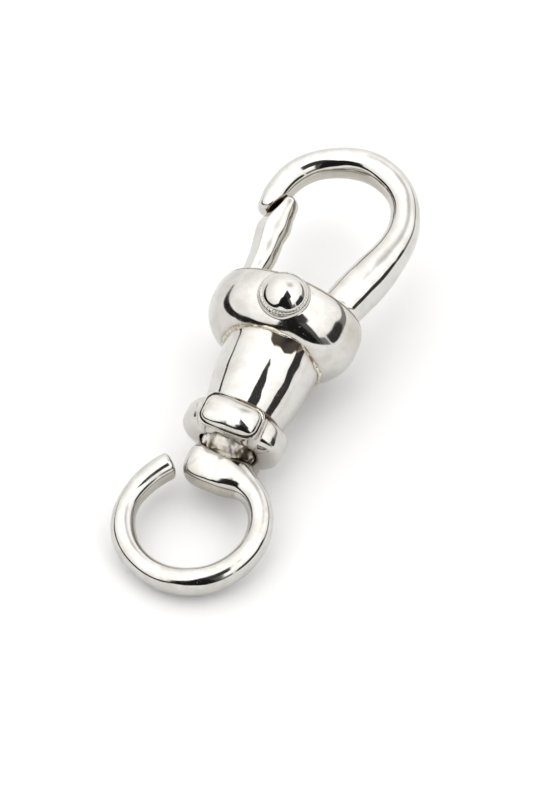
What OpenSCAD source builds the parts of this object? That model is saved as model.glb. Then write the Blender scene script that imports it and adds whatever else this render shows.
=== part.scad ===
// Swivel snap hook: a squarish hook bar with a pivoted spring gate, an oval head,
// a tapered neck and a lobed collar, with an open ring that swivels in the neck.
// Millimetres. Origin at the centre of the ring's eye at mid thickness, +Y along the
// swivel axis towards the hook, +Z out of the front face, the one with the ball rivet.
// The modules are drawn about the gate rivet's axis and place() moves them to the origin.

/* [Head] */
// Half width of the head across X
head_half_w = 9.4; // [9.2:0.1:9.8]
// Half thickness of the head along Z
head_half_t = 7.45; // [7.3:0.05:7.8]
// Height of the head's fattest section along Y
head_mid_y = 0.4; // [0.2:0.1:0.6]
// From the fattest section down to the lower pole
head_drop = 6.25; // [6.1:0.05:6.5]
// Height of the flat top face along Y
head_top = 3.0; // [2.9:0.05:3.1]
// Roundness of the head's side profile
head_round = 2.6; // [2.4:0.1:2.8]

/* [Hook bar] */
// Roundness of the bar section, 2 is an ellipse and higher is squarer
bar_round = 2.2; // [2.0:0.1:3]
// Bar thickness along Z compared with its width
bar_aspect = 1.08; // [1:0.02:1.12]
// Radius of the round tang in the head
tang_r = 1.8; // [1.6:0.1:1.9]
// Depth of the tang below the head's top face
tang_len = 5.6; // [4.5:0.1:6]

/* [Gate] */
// Radius of the gate's hub
hub_r = 2.1; // [2:0.05:2.2]
// Half thickness of the gate's hub and lever
gate_half_t = 1.5; // [1.4:0.05:1.5]
// Half width of the gate's lever inside the head
lever_half_w = 1.4; // [1.3:0.05:1.4]
// Opening angle of the gate, degrees inwards
gate_open = 30; // [25:1:30]
// Gap between the gate and the hook's nose
nose_gap = 0.12; // [0.1:0.01:0.2]

/* [Rivet and spring] */
// Radius of the rivet's shank
rivet_r = 1.0; // [0.95:0.01:1]
// Radius of the domed head
ball_r = 2.57; // [2.4:0.01:2.6]
// Height of the dome above its short cylinder
dome_h = 1.26; // [1.1:0.02:1.6]
// Outer radius of the beaded rings
bead_r = 2.86; // [2.8:0.01:2.9]
// Radius of the spring wire
wire_r = 0.25; // [0.2:0.01:0.25]
// Mean radius of the spring coil
coil_r = 1.75; // [1.7:0.01:1.8]
// Turns of the spring
coil_turns = 4; // [3:1:4]

/* [Neck and collar] */
// Offset of the swivel axis along X
axis_x = 0.45; // [0.3:0.05:0.6]
// Neck radius where it meets the head
neck_head_r = 5.9; // [5.7:0.05:6]
// Neck radius at the collar
neck_collar_r = 4.82; // [4.7:0.02:4.9]
// Half width of the collar across X
collar_half_w = 6.32; // [6.2:0.02:6.5]
// Half thickness of the collar's side lobes along Z
collar_half_t = 4.4; // [4.3:0.05:4.6]
// Middle of the collar along Y
collar_y = -15.8; // [-15.9:0.05:-15.7]
// Half length of the collar along Y
collar_half_len = 2.28; // [2.2:0.02:2.3]

/* [Ring] */
// Inner radius of the ring's eye
eye_r = 6.36; // [6.3:0.02:6.4]
// Half width of the ring's wire in its plane
ring_half_w = 1.5; // [1.4:0.05:1.55]
// Half thickness of the ring's wire along Z
ring_half_t = 1.62; // [1.5:0.02:1.7]
// Corner radius of the ring's wire
ring_corner = 1.1; // [1:0.05:1.2]
// Centre of the ring along Y
ring_y = -28.46; // [-28.6:0.02:-28.4]
// Angle of the ring's free end
ring_end = 133; // [130:1:136]
// Radius of the swivel stem
stem_r = 1.7; // [1.65:0.01:1.7]
// Radial running clearance of every turning fit
run_fit = 0.05; // [0.03:0.01:0.08]

/* [Hidden] */
$fn = 64;
nickel = "#c9c7c1";
dark_nickel = "#a8a49b";
brass = "#b99b52";
steel = "#8d8f92";
braze = "#b5ab8c";

// Gate and hook
pocket_up = 1.75;                  // gate pocket above the middle plane
pocket_down = 2.3;                 // gate pocket below it, room for the spring's leg
elbow = [-6.05, 2.7];              // bend of the gate where it leaves the head
lever_angle = atan2(elbow.y, elbow.x);
gate_bush_r = rivet_r + run_fit + 0.4;
tang_x = 5.2;
nose_point = [-7.1, 15.35];        // a point on the nose's cut
nose_angle = atan2(2.13, 1.0);     // direction of the cut in the XY plane

// Rivet and spring
bead_floor = 6.7;                  // underside of the beaded rings, from the middle plane
front_seat = 7.5;                  // outer face of the front ring
back_seat = bead_floor + 0.4;      // outer face of the back ring
dome_z = 7.86;                     // foot of the dome
dome_r = (ball_r * ball_r + dome_h * dome_h) / (2 * dome_h);
coil_z = -4.25;                    // back end of the coil
coil_h = 2.3;
coil_end_angle = lever_angle - 90;
coil_end = polar(coil_r, coil_end_angle);

// Neck and collar
socket_y = -4.15;                  // roof of the neck's socket in the head
shelf_y = -10.6;                   // shelf in the neck under the bush's flange
spigot_y = -16.9;                  // lower end of the neck
spigot_r = 3.4;
neck_foot_y = spigot_y + 3.3;      // lower end of the taper
neck_top_r = neck_head_r + 1.3 * (neck_head_r - neck_collar_r) / 8;
plug_r = 3.8;
plug_y = -5.1;                     // underside of the plug
pad_drop = 0.32;                   // collar's middle down to the pads' middle
pad_floor = 4.6;                   // flat underside of the pads, from the middle plane

// Swivel
bush_r = 2.6;
shoulder_y = -18.2;                // where the stem steps down to its tip
tip_r = 1.3;
boss_y = -21.1;
boss_half = [3.95, 2.69, 2.15];    // half sizes of the ring's boss
boss_end = 85;                     // angle of the ring's end inside the boss

// Hook bar from inside the head round to the nose: x, y, half width
HOOK = [
    [3.5, -3.3, 2.3], [4.55, 1.0, 2.4], [5.6, 5.4, 2.6], [7.05, 9.75, 2.7],
    [8.0, 13.5, 2.25], [8.5, 17.2, 2.0], [7.1, 21.8, 1.75], [3.6, 24.3, 1.9],
    [-0.2, 25.0, 1.95], [-5.5, 22.7, 1.75], [-8.1, 18.5, 1.75], [-8.2, 13.6, 1.55],
    [-6.3, 9.0, 1.2]];
// Gate arm from the elbow to the tip: x, y, half width, half thickness
GATE = [
    [-6.05, 0.2, 1.35, 1.4], [-6.05, 2.6, 1.4, 1.45], [-6.1, 4.7, 1.5, 1.5],
    [-6.1, 6.7, 1.6, 1.5], [-6.15, 8.7, 1.8, 1.5], [-6.45, 10.1, 1.8, 1.5],
    [-6.5, 11.5, 2.1, 1.5], [-6.5, 12.8, 2.0, 1.5], [-6.4, 13.9, 1.7, 1.55],
    [-6.25, 14.8, 1.5, 1.5], [-6.15, 15.5, 1.35, 1.45], [-6.1, 16.1, 1.15, 1.2],
    [-6.1, 16.5, 0.75, 0.8], [-6.1, 16.7, 0.1, 0.1]];
// Spring's leg on the lever: distance along the lever, rise from the coil's front end
SPRING_LEG = [[1.2, 0], [2.6, 0], [3.4, 0.05], [3.6, 0.35], [3.6, 1.5]];

// ---- helpers ----
function polar(radius, angle) = radius * [cos(angle), sin(angle)];
function unit(vector) = vector / norm(vector);
function mean(points) = [for (point = points) 1] * points / len(points);
// step between the neighbours of point i on a path
function chord(path, i) = path[min(len(path) - 1, i + 1)] - path[max(0, i - 1)];
function signed_pow(value, power) = sign(value) * pow(abs(value), power);

// superellipse outline
function oval(sides, half_x, half_y, power) = [for (j = [0 : sides - 1])
    let (angle = 360 * (j + 0.5) / sides)
    [half_x * signed_pow(cos(angle), 2 / power), half_y * signed_pow(sin(angle), 2 / power)]];

// uniform cubic B-spline of a table's rows
function spline(rows, steps) = [for (i = [0 : len(rows) - 4])
    for (j = [0 : (i == len(rows) - 4 ? steps : steps - 1)])
    let (t = j / steps)
    [pow(1 - t, 3), 3 * pow(t, 3) - 6 * t * t + 4, -3 * pow(t, 3) + 3 * t * t + 3 * t + 1, pow(t, 3)]
        * [rows[i], rows[i + 1], rows[i + 2], rows[i + 3]] / 6];

module place() { translate([-axis_x, -ring_y, 0]) children(); }

// closed skin over rings of equally many points, flat caps at both ends
module skin(rings) {
    last = len(rings) - 1;
    sides = len(rings[0]);
    first_cap = len(rings) * sides;
    polyhedron(
        points = concat([for (ring = rings) each ring], [mean(rings[0]), mean(rings[last])]),
        faces = concat(
            [for (i = [0 : last - 1]) for (j = [0 : sides - 1])
                let (here = i * sides, above = here + sides, next = (j + 1) % sides)
                each [[here + j, above + j, here + next],
                      [here + next, above + j, above + next]]],
            [for (j = [0 : sides - 1]) [first_cap, j, (j + 1) % sides]],
            [for (j = [0 : sides - 1])
                [first_cap + 1, last * sides + (j + 1) % sides, last * sides + j]]),
        convexity = 6);
}

// bar along a flat centre line of x, y, half width, half thickness
module bar(stations, power) {
    skin([for (i = [0 : len(stations) - 1])
        let (at = stations[i], step = chord(stations, i), dir = unit([step.x, step.y]))
        [for (p = oval(20, at[2], at[3], power))
            [at.x - dir.y * p.x, at.y + dir.x * p.x, p.y]]]);
}

// cushion: superellipse sections in XZ that follow a superellipse profile along Y,
// between two fractions of its half length; lower is the half length below the middle
module cushion(half, section, profile, from = -0.985, to = 0.985, lower = 0,
               sides = 28, steps = 12) {
    skin([for (i = [0 : steps])
        let (height = sin(asin(to) + (asin(from) - asin(to)) * i / steps),
             half_len = height < 0 && lower > 0 ? lower : half.y,
             swell = pow(1 - pow(abs(height), profile), 1 / profile))
        [for (p = oval(sides, half.x * swell, half.z * swell, section))
            [p.x, height * half_len, p.y]]]);
}

module along_y(y, x = axis_x) { translate([x, y, 0]) rotate([-90, 0, 0]) children(); }
module rod(radius, from, to, x = axis_x) { along_y(from, x) cylinder(r = radius, h = to - from); }
module both_faces() { for (side = [0, 1]) mirror([0, 0, side]) children(); }

module round_rect(half_x, half_y, corner) {
    square([2 * half_x - 2 * corner, 2 * half_y], center = true);
    square([2 * half_x, 2 * half_y - 2 * corner], center = true);
    for (x = [-1, 1]) for (y = [-1, 1])
        translate([x * (half_x - corner), y * (half_y - corner)]) circle(r = corner, $fn = 32);
}

// frame of the nose's cut: X along the cut, +Y on the hook's side
module at_nose_cut() {
    translate([nose_point.x, nose_point.y, 0]) rotate([0, 0, nose_angle]) children();
}

// ---- head and hook ----
module head_blank() {
    half_len = 5;
    translate([0, head_mid_y, 0])
        cushion([head_half_w, half_len, head_half_t], 2, head_round, from = -0.99,
                to = (head_top - head_mid_y) / half_len, lower = head_drop,
                sides = 40, steps = 16);
}

// room for the lever to swing from closed to open
module gate_pocket() {
    open_angle = lever_angle - gate_open - 1;
    closed_side = polar(lever_half_w + 0.25, lever_angle + 90);
    open_side = polar(lever_half_w + 0.75, open_angle - 90);
    elbow_r = lever_half_w + 0.35;
    over_top = head_top + 1;
    reach = (over_top - open_side.y) / sin(open_angle);
    translate([0, 0, -pocket_down]) linear_extrude(pocket_up + pocket_down) {
        circle(r = hub_r + 0.25);
        translate(elbow) circle(r = elbow_r);
        polygon([closed_side, open_side, open_side + polar(reach, open_angle),
                 [elbow.x - elbow_r, over_top], [elbow.x - elbow_r, elbow.y],
                 elbow + closed_side]);
    }
}

module head() place() {
    color(nickel) difference() {
        union() {
            head_blank();
            translate([0, 0, 5]) cylinder(r = bead_r + 0.16, h = 2.4);
        }
        gate_pocket();
        // well for the coil and hole for its foot
        translate([0, 0, -4.6]) cylinder(r = coil_r + wire_r + 0.2, h = 3);
        translate([coil_end.x, coil_end.y, -5.6]) cylinder(r = 0.32, h = 2, $fn = 24);
        // rivet hole and seats for the beaded rings
        translate([0, 0, -9]) cylinder(r = rivet_r, h = 18);
        both_faces() translate([0, 0, bead_floor]) cylinder(r = bead_r + 0.02, h = 3);
        rod(tang_r, head_top - tang_len, head_top + 1, tang_x);
        // neck socket
        translate([axis_x, socket_y, 0]) rotate([90, 0, 0])
            cylinder(r1 = neck_top_r + 0.03, r2 = neck_top_r - 0.37, h = 3);
    }
}

module hook() place() {
    color(nickel) {
        difference() {
            bar([for (at = spline(HOOK, 5)) [at.x, at.y, at[2], at[2] * bar_aspect]], bar_round);
            // everything below the head's top face
            translate([-2, -10, -5]) cube([12, head_top + 10, 10]);
            // gate's side of the nose's cut, as far as the bar's inner edge
            at_nose_cut() translate([-6, -4, -10]) cube([8.2, 4, 20]);
        }
        rod(tang_r, head_top - tang_len + 0.1, head_top + 1, tang_x);
    }
}

module hook_braze() place() {
    color(braze) along_y(head_top, 5.05) linear_extrude(0.3) difference() {
        round_rect(2.85, 3.1, 1.6);
        round_rect(2.42, 2.66, 1.3);
    }
}

// ---- gate ----
module gate() place() {
    thickness = 2 * gate_half_t;
    color(nickel) difference() {
        union() {
            translate([0, 0, -gate_half_t]) cylinder(r = hub_r, h = thickness);
            translate([elbow.x, elbow.y, -gate_half_t]) cylinder(r = lever_half_w, h = thickness);
            rotate([0, 0, lever_angle]) translate([0, -lever_half_w, -gate_half_t])
                cube([norm(elbow), 2 * lever_half_w, thickness]);
            difference() {
                bar(spline(GATE, 4), 2.2);
                // hook's side of the nose's cut, with the gap
                at_nose_cut() translate([-30, -nose_gap, -10]) cube([60, 40, 20]);
            }
        }
        translate([0, 0, -3]) cylinder(r = gate_bush_r, h = 6);
    }
}

module gate_bush() place() {
    color(brass) difference() {
        translate([0, 0, -gate_half_t]) cylinder(r = gate_bush_r, h = 2 * gate_half_t);
        translate([0, 0, -3]) cylinder(r = rivet_r + run_fit, h = 6);
    }
}

// foot in the head, coil about the rivet, leg along the lever
module gate_spring() place() {
    turn_steps = 20;
    steps = coil_turns * turn_steps;
    foot = [for (drop = [1.1, 0.3]) [coil_end.x, coil_end.y, coil_z - drop]];
    coil = [for (i = [0 : steps])
        let (p = polar(coil_r, coil_end_angle + 360 * (i / turn_steps - coil_turns)))
        [p.x, p.y, coil_z + coil_h * i / steps]];
    leg = [for (at = SPRING_LEG) let (p = coil_end + polar(at[0], lever_angle))
        [p.x, p.y, coil_z + coil_h + at[1]]];
    path = concat(foot, coil, leg);
    color(steel) skin([for (i = [0 : len(path) - 1])
        let (dir = unit(chord(path, i)), radial = [path[i].x, path[i].y, 0],
             normal = unit(radial - (radial * dir) * dir), binormal = cross(dir, normal))
        [for (j = [0 : 7]) path[i] + wire_r * (cos(45 * j) * normal + sin(45 * j) * binormal)]]);
}

module gate_rivet() place() {
    back_dome_r = 4;
    back_dome_h = 0.8;
    color(nickel) {
        translate([0, 0, -7.6]) cylinder(r = rivet_r, h = 15.2);
        rotate_extrude() intersection() {
            translate([0, dome_z + dome_h - dome_r]) circle(r = dome_r);
            translate([0, front_seat]) square([ball_r, 4]);
        }
        rotate_extrude() intersection() {
            translate([0, back_dome_r - back_dome_h - back_seat]) circle(r = back_dome_r);
            translate([0, -9]) square([2.3, 9 - back_seat]);
        }
    }
}

module bead_ring(height) {
    translate([0, 0, bead_floor]) difference() {
        union() {
            cylinder(r = bead_r, h = height);
            rotate_extrude() translate([bead_r - 0.1, height]) circle(r = 0.11, $fn = 24);
        }
        translate([0, 0, -1]) cylinder(r = rivet_r, h = 3);
    }
}
module rivet_rings() place() {
    color(dark_nickel) {
        bead_ring(front_seat - bead_floor);
        mirror([0, 0, 1]) bead_ring(back_seat - bead_floor);
    }
}

// ---- neck and collar ----
module neck_barrel() place() {
    color(nickel) difference() {
        union() {
            along_y(neck_foot_y)
                cylinder(r1 = neck_collar_r, r2 = neck_top_r, h = socket_y - 0.05 - neck_foot_y);
            rod(spigot_r, spigot_y, spigot_y + 3.4);
        }
        rod(bush_r, spigot_y - 1, shelf_y + 0.5);
        rod(3.3, shelf_y, -3);
        rod(plug_r, plug_y, -3);
    }
}

module neck_braze() place() {
    color(braze) along_y(-4.95)
        rotate_extrude() translate([neck_head_r + 0.02, 0]) circle(r = 0.42, $fn = 24);
}

module neck_plug() place() { color(brass) rod(plug_r, plug_y, -4.3); }

module collar_blank() {
    lobe_half_t = 4.85;
    translate([axis_x, collar_y, 0]) {
        cushion([collar_half_w, collar_half_len, collar_half_t], 2.2, 3.6, sides = 32);
        translate([0, -pad_drop, -lobe_half_t]) linear_extrude(2 * lobe_half_t)
            round_rect(3.66, 2.34, 1.4);
    }
}

module at_pads() {
    both_faces() translate([axis_x, collar_y - pad_drop, pad_floor]) children();
}

module collar() place() {
    color(nickel) difference() {
        collar_blank();
        rod(spigot_r, -20, -12);
        rod(3.9, -20, spigot_y - 0.05);
        rod(4.85, -13.65, -12);
        at_pads() linear_extrude(1) round_rect(3.54, 2.22, 1.3);
    }
}

// pillows with flat undersides, one on each face
module collar_pads() place() {
    color(nickel) at_pads() rotate([90, 0, 0]) cushion([3.5, 1.25, 2.17], 3.2, 2.5, from = 0, steps = 8);
}

// ---- swivel ----
module swivel_bush() place() {
    color(brass) difference() {
        union() {
            rod(bush_r, spigot_y, shelf_y + 0.3);
            rod(3.1, shelf_y, -10);
        }
        rod(stem_r + run_fit, -20, -5);
    }
}

module swivel_washer() place() {
    color(steel) difference() {
        rod(2.9, -9.95, -9.45);
        rod(stem_r + run_fit, -12, -5);
    }
}

module swivel_stem() place() {
    color(steel) {
        rod(stem_r, shoulder_y, -9);
        rod(tip_r, -21.2, -18);
        // chamfered head
        along_y(-9.4)
            rotate_extrude() polygon([[0, 0], [2.7, 0], [2.7, 1.1], [2.3, 1.5], [0, 1.7]]);
    }
}

module stem_braze() place() {
    outer_r = 3.3;
    color(braze) difference() {
        union() {
            along_y(-18.75) cylinder(r1 = 2.7, r2 = outer_r, h = 0.8);
            rod(outer_r, -17.96, -17.35);
        }
        rod(stem_r, shoulder_y, -10);
        rod(tip_r, -25, -18);
    }
}

module swivel_ring() place() {
    color(nickel) difference() {
        union() {
            translate([axis_x, ring_y, 0])
                rotate_extrude(angle = boss_end + 360 - ring_end, start = ring_end)
                translate([eye_r + ring_half_w, 0])
                round_rect(ring_half_w, ring_half_t, ring_corner);
            translate([axis_x, boss_y, 0]) cushion(boss_half, 2.6, 3.6);
        }
        rod(tip_r, -21.25, -15);
    }
}

head();
hook();
hook_braze();
gate();
gate_bush();
gate_spring();
gate_rivet();
rivet_rings();
neck_barrel();
neck_braze();
neck_plug();
collar();
collar_pads();
swivel_bush();
swivel_washer();
swivel_stem();
stem_braze();
swivel_ring();
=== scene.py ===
"""Swivel snap hook: a head with a curved hook and a sprung gate, on a neck, a collar and a ring.

Shapes are in millimetres about the gate rivet's axis: x across, y towards the hook, z up through
the round rivet head. The ring is at the -y end. ORIGIN is that point in the CAD frame, in metres.
"""
import math
from functools import partialmethod, reduce
import bpy
import numpy as np
from mathutils import Matrix, Vector


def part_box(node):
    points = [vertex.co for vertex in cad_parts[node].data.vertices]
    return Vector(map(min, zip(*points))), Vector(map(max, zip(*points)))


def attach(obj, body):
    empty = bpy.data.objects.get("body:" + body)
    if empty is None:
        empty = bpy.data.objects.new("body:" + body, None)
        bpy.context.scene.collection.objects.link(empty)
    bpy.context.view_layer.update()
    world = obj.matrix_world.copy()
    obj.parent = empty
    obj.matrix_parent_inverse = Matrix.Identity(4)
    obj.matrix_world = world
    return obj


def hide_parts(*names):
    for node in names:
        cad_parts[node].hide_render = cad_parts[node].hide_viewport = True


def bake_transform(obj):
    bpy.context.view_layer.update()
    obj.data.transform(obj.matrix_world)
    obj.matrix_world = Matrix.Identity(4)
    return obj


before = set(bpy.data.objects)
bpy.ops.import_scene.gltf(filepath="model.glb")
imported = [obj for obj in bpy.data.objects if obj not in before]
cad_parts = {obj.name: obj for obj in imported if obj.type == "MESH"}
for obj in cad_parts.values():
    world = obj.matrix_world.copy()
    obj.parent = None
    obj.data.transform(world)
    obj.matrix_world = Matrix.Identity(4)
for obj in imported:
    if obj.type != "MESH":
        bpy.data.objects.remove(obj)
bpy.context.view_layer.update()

MM = 0.001
rivet_low, rivet_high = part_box("gate_rivet")
ORIGIN = np.array([(rivet_low.x + rivet_high.x) / 2, (rivet_low.y + rivet_high.y) / 2, 0.0])

# grid spacing of the meshes
GRID = 0.13
BEAD_GRID = 0.1
SEAT_GRID = 0.08

# sizes and places shared by several pieces
PIN_RADIUS = 1.0                        # the rivet's pin and its hole in the head
AXIS_X = 0.45                           # the swivel's axis
PAD_X, PAD_Y = AXIS_X - 0.2, -16.14     # the collar's pads sit a little to one side
LEVER_X, LEVER_Y = -6.05, 2.7           # outer end of the gate's lever
LEVER_ANGLE = math.atan2(LEVER_Y, LEVER_X)
NOSE_X, NOSE_Y = -7.10, 15.35           # a point on the nose's slanted cut
NOSE_ALONG = (0.4253, 0.9051)           # direction of the cut
NECK_FLATTEN = 0.955                    # the neck's z size over its x size


# ---------------------------------------------------------------- implicit shapes, negative inside
def meet(a, b, radius):
    """Where both shapes are, with the edge rounded."""
    blend = np.maximum(radius - np.abs(a - b), 0.0) / radius
    return np.maximum(a, b) + blend * blend * radius * 0.25


def join(a, b, radius):
    """Either shape, with a fillet between them."""
    return -meet(-a, -b, radius)


def carve(shape, tool, radius):
    return meet(shape, -tool, radius)


def largest(*values):
    return reduce(np.maximum, values)


def oval(a, b, power):
    return (np.abs(a) ** power + np.abs(b) ** power) ** (1 / power)


def cushion(x, y, z, half, section, profile, centre):
    """Rounded block: superellipse of power section in xz, of power profile along y."""
    radius = oval((x - centre[0]) / half[0], (z - centre[2]) / half[2], section)
    return (oval(radius, (y - centre[1]) / half[1], profile) - 1) * min(half)


def pad_outline(x, y, half_x, half_y, corner):
    """Distance to a round-cornered rectangle about the pads' centre."""
    out_x = np.abs(x - PAD_X) - half_x + corner
    out_y = np.abs(y - PAD_Y) - half_y + corner
    outside = np.hypot(np.maximum(out_x, 0), np.maximum(out_y, 0))
    return outside + np.minimum(np.maximum(out_x, out_y), 0) - corner


def from_axis(x, z):
    """Distance from the swivel's axis."""
    return np.hypot(x - AXIS_X, z)


class Waves:
    """Smooth seeded waviness, about -1 to 1, with features near the given wavelength in mm."""

    def __init__(self, seed, size, count=14):
        draw = np.random.default_rng(seed)
        way = draw.normal(size=(count, 3))
        way /= np.linalg.norm(way, axis=1)[:, None]
        self.ways = way * (2 * np.pi / (size * draw.uniform(0.7, 1.5, count)))[:, None]
        self.phases = draw.uniform(0, 2 * np.pi, count)
        self.scale = 1.4 / math.sqrt(count)

    def __call__(self, x, y, z):
        total = 0.0
        for way, phase in zip(self.ways, self.phases):
            total = total + np.sin(way[0] * x + way[1] * y + way[2] * z + phase)
        return total * self.scale


WAVES = {"big": Waves(3, 7.0), "mid": Waves(5, 2.4), "fine": Waves(9, 0.9)}


def rumple(shape, x, y, z, **heights):
    """Make a surface slightly uneven, by a height in mm for each named wave."""
    for name, height in heights.items():
        shape = shape + height * WAVES[name](x, y, z)
    return shape


class Bar:
    """Bar along a flat cubic B-spline. Rows are x, y, half width and optionally half thickness."""

    SAMPLES = 8         # starting guesses for each span
    CHUNK = 8000        # points searched at a time

    def __init__(self, rows, power, thickness=None):
        self.rows = np.array(rows, float)
        if thickness:
            self.rows = np.c_[self.rows, thickness(self.rows[:, 2])]
        self.power = power
        self.spans = len(self.rows) - 3
        self.places = np.linspace(0, self.spans, self.spans * self.SAMPLES + 1)
        self.samples = self.at(self.places)[:, :2]

    def at(self, place, order=0):
        """Row at a place along the bar, or its first or second derivative."""
        first = np.clip(np.floor(place).astype(int), 0, self.spans - 1)
        t = (place - first)[:, None]
        a, b, c, d = (self.rows[first + i] for i in range(4))
        if order == 0:
            return ((1 - t) ** 3 * a + (3 * t ** 3 - 6 * t * t + 4) * b
                    + (-3 * t ** 3 + 3 * t * t + 3 * t + 1) * c + t ** 3 * d) / 6
        if order == 1:
            return (-(1 - t) ** 2 * a + (3 * t * t - 4 * t) * b
                    + (-3 * t * t + 2 * t + 1) * c + t * t * d) / 2
        return (1 - t) * a + (3 * t - 2) * b + (1 - 3 * t) * c + t * d

    def near(self, x, y):
        """Offset, distance past an end, half width, half thickness, place along, at each x, y."""
        x, y = np.broadcast_arrays(x, y)
        points = np.c_[x.ravel(), y.ravel()]
        place = np.empty(len(points))
        for i in range(0, len(points), self.CHUNK):
            gaps = ((points[i:i + self.CHUNK, None] - self.samples) ** 2).sum(2)
            place[i:i + self.CHUNK] = self.places[gaps.argmin(1)]
        limit = 0.6 / self.SAMPLES
        for _ in range(3):      # Newton steps to the closest place
            gap = self.at(place)[:, :2] - points
            slope = self.at(place, 1)[:, :2]
            bend = self.at(place, 2)[:, :2]
            rate = (slope * slope).sum(1) + (gap * bend).sum(1)
            step = np.clip((gap * slope).sum(1) / np.maximum(rate, 1e-3), -limit, limit)
            place = np.clip(place - step, 0, self.spans)
        row = self.at(place)
        tangent = self.at(place, 1)[:, :2]
        tangent /= np.linalg.norm(tangent, axis=1)[:, None]
        gap = points - row[:, :2]
        offset = tangent[:, 0] * gap[:, 1] - tangent[:, 1] * gap[:, 0]
        past = np.full(len(place), -9.0)
        for end, sign in ((0.0, -1), (float(self.spans), 1)):
            tip = self.at(np.array([end]))[0, :2]
            way = self.at(np.array([end]), 1)[0, :2]
            gap = points - tip
            beyond = gap @ (way / np.linalg.norm(way)) * sign
            at_end = (place == end) | (np.hypot(*gap.T) < 3.5)
            past = np.where(at_end, np.maximum(past, beyond), past)
        return [v.reshape(x.shape) for v in (offset, past, row[:, 2], row[:, 3], place)]

    def solid(self, x, y, z):
        """The endless bar's shape, then offset, distance past an end, half width and thickness."""
        offset, past, wide, thick, _ = self.near(x, y)
        shape = (oval(offset / wide, z / thick, self.power) - 1) * np.minimum(wide, thick)
        return shape, offset, past, wide, thick


# ---------------------------------------------------------------- meshing
def gradient(shape, points, reach=2e-3):
    slopes = []
    for step in reach * np.eye(3):
        ahead, behind = points + step, points - step
        slopes.append((shape(*ahead.T) - shape(*behind.T)) / (2 * reach))
    return np.stack(slopes, 1)


def surface_nets(shape, low, high, step):
    """Quad mesh of shape = 0 between two corners, with its vertices moved onto the surface."""
    low = np.array(low, float)
    size = np.ceil((np.array(high, float) - low) / step).astype(int) + 1
    field = shape(*np.ix_(*(low[i] + step * np.arange(size[i]) for i in range(3))))
    solid = field < 0
    filled = np.zeros(size - 1, np.int8)
    for i, j, k in np.ndindex(2, 2, 2):
        filled += solid[i:size[0] - 1 + i, j:size[1] - 1 + j, k:size[2] - 1 + k]
    crossed = (filled > 0) & (filled < 8)
    index = np.full(crossed.shape, -1)
    cells = np.stack(np.nonzero(crossed), 1)
    index[tuple(cells.T)] = np.arange(len(cells))
    units = np.eye(3, dtype=int)

    # one vertex in each crossed cell, at the mean of its edge crossings
    total, count = np.zeros((len(cells), 3)), np.zeros(len(cells))
    for axis in range(3):
        for i, j in np.ndindex(2, 2):
            corner = i * units[(axis + 1) % 3] + j * units[(axis + 2) % 3]
            start = field[tuple((cells + corner).T)]
            end = field[tuple((cells + corner + units[axis]).T)]
            crosses = (start < 0) != (end < 0)
            share = (start / np.where(start == end, 1, start - end))[crosses, None]
            total[crosses] += (corner + share * units[axis])
            count[crosses] += 1
    points = low + step * (cells + total / count[:, None])

    # one quad round each crossed grid edge
    quads = []
    for axis in range(3):
        u, v = units[(axis + 1) % 3], units[(axis + 2) % 3]
        starts, ends = [slice(1, -1)] * 3, [slice(1, -1)] * 3
        starts[axis], ends[axis] = slice(0, -1), slice(1, None)
        edges = np.stack(np.nonzero(solid[tuple(starts)] != solid[tuple(ends)]), 1) + u + v
        quad = np.stack([index[tuple((edges - s).T)] for s in (u + v, v, 0, u)], 1)
        outside = ~solid[tuple(edges.T)]
        quad[outside] = quad[outside][:, ::-1]
        quads.append(quad)
    quads = np.concatenate(quads)
    quads = quads[(quads >= 0).all(1)]

    for _ in range(5):
        slope = gradient(shape, points)
        share = shape(*points.T) / np.maximum((slope * slope).sum(1), 1e-4)
        move = slope * share[:, None]
        length = np.linalg.norm(move, axis=1)
        points = points - move * np.minimum(1, 0.4 * step / np.maximum(length, 1e-9))[:, None]
    return points, quads


def add_object(name, mesh, material):
    made = bpy.data.objects.new(name, mesh)
    bpy.context.scene.collection.objects.link(made)
    mesh.materials.append(material)
    return made


def piece(name, shape, low, high, stands_for, material, grime_and_shade=None, step=GRID, body="root"):
    """Mesh a shape between two corners, with true normals and a value on each vertex for grime and
    painted shade.
    """
    points, quads = surface_nets(shape, low, high, step)
    normals = gradient(shape, points)
    normals /= np.maximum(np.linalg.norm(normals, axis=1), 1e-9)[:, None]
    used = np.unique(quads)
    renumber = np.full(len(points), -1)
    renumber[used] = np.arange(len(used))
    points, normals, quads = points[used], normals[used], renumber[quads]
    mesh = bpy.data.meshes.new(name)
    mesh.vertices.add(len(points))
    mesh.vertices.foreach_set("co", (points * MM + ORIGIN).astype(np.float32).ravel())
    mesh.loops.add(quads.size)
    mesh.loops.foreach_set("vertex_index", quads.astype(np.int32).ravel())
    mesh.polygons.add(len(quads))
    mesh.polygons.foreach_set("loop_start", np.arange(0, quads.size, 4, dtype=np.int32))
    mesh.polygons.foreach_set("use_smooth", np.ones(len(quads), bool))
    mesh.update(calc_edges=True)
    mesh.validate()
    amount = grime_and_shade(*points.T, normals) if grime_and_shade else np.zeros(len(points))
    attribute = mesh.attributes.new("grime_and_shade", "FLOAT", "POINT")
    attribute.data.foreach_set("value", np.clip(amount, 0, 1).astype(np.float32))
    mesh.normals_split_custom_set_from_vertices(normals.tolist())
    made = add_object(name, mesh, material)
    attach(made, body)
    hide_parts(*stands_for)


# ---------------------------------------------------------------- node helpers
def feed(socket, value):
    """Link a Value into a socket, or set the socket to a constant."""
    if isinstance(value, Value):
        value.tree.links.new(value.socket, socket)
    else:
        socket.default_value = value


def node(tree, kind, **settings):
    """New node; each setting is an input's name or a property's."""
    made = tree.nodes.new(kind)
    for name, value in settings.items():
        if name in made.inputs:
            feed(made.inputs[name], value)
        else:
            setattr(made, name, value)
    return made


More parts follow.
